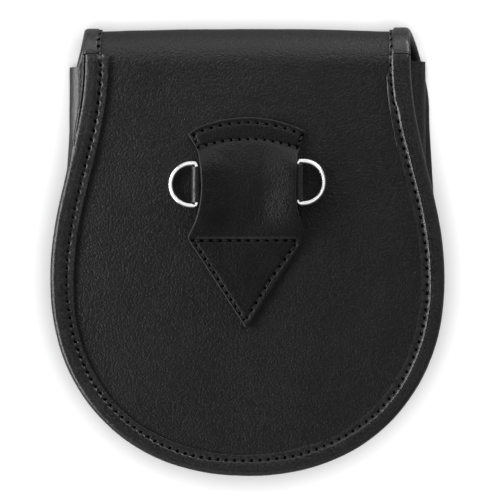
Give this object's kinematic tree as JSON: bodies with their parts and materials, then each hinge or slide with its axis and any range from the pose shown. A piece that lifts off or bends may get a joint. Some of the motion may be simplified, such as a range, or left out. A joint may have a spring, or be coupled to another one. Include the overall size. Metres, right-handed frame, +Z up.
{
  "type": "sporran pouch",
  "caption": "Leather sporran pouch lying on its flap: bound round edges, bellows gusset, rolled top fold, waisted belt loop and hinged D-rings on the back.",
  "frame": {"origin": "middle of the pouch on the surface it lies on, under the flap", "axes": "+Z up out of the back panel, +Y to the rolled top fold, +X to the right as seen from behind"},
  "size_m": [0.1658, 0.1895, 0.0425],
  "materials": {
    "panel_leather": "smooth black, fine grain",
    "edging_leather": "smooth black, slightly glossy",
    "nickel": "bright nickel plate"
  },
  "bodies": {
    "pouch": {"back_flap_leather": "panel_leather", "front_panel": "panel_leather", "gusset": "panel_leather", "back_binding": "edging_leather", "flap_binding": "edging_leather", "front_binding": "edging_leather", "belt_loop": "panel_leather", "ring_tab": "edging_leather", "closure_stud": "nickel"},
    "left_ring": {"ring_left": "nickel"},
    "right_ring": {"ring_right": "nickel"}
  },
  "joints": [
    {"name": "left_ring_swing", "type": "hinge", "parent": "pouch", "child": "left_ring", "pos_m": [-0.021, 0.02765, 0.03735], "axis": [0, 1, 0], "range_deg": [0, 60]},
    {"name": "right_ring_swing", "type": "hinge", "parent": "pouch", "child": "right_ring", "pos_m": [0.021, 0.02865, 0.03734], "axis": [0, -1, 0], "range_deg": [0, 60]}
  ]
}
